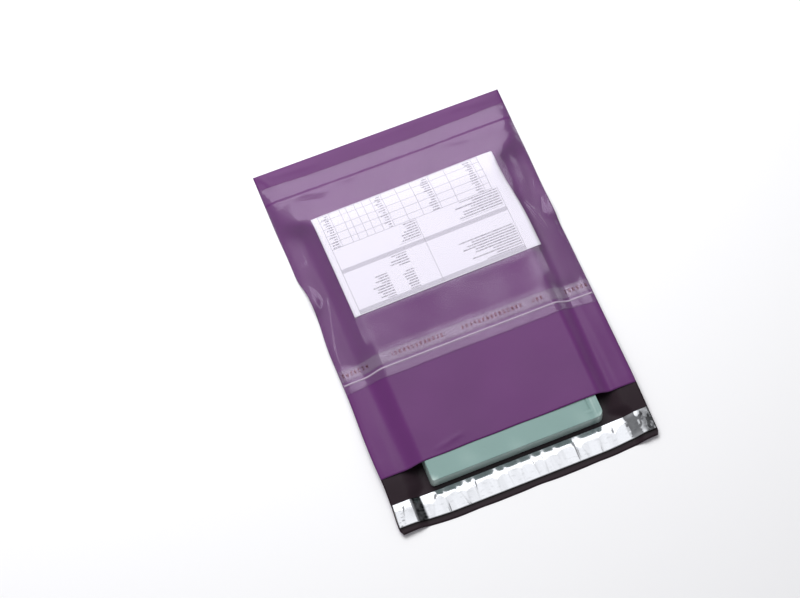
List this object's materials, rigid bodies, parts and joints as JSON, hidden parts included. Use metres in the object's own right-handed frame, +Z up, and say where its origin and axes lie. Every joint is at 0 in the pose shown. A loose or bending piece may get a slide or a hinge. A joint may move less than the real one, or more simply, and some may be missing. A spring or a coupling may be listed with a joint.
{
  "type": "poly mailer bag",
  "caption": "Side-welded film mailer bag with an open peel-and-seal flap and a clear document pouch, lying on its back round a boxed item.",
  "frame": {"origin": "on the surface the bag lies on, under the middle of its 280 x 420 mm outline", "axes": "+X across the bag to the right, +Y from the flap to the bottom fold along its length, +Z up through its thickness"},
  "size_m": [0.28, 0.42, 0.0181],
  "materials": {
    "mailer_film": "satin purple polyethylene film, black inside",
    "clear_film": "clear polyethylene film, slightly hazy",
    "adhesive": "tacky hot-melt adhesive",
    "printed_liner": null,
    "silver_liner": "bright wrinkled release film",
    "paper": null,
    "wrapped_box": "pale teal card under clear shrink wrap"
  },
  "bodies": {
    "root": {"mailer_film": "mailer_film", "pouch_film": "clear_film", "pouch_adhesive": "adhesive", "pouch_liner": "printed_liner", "flap_adhesive": "adhesive", "flap_liner": "silver_liner", "packing_slip": "paper", "goods_box": "wrapped_box"}
  },
  "joints": []
}
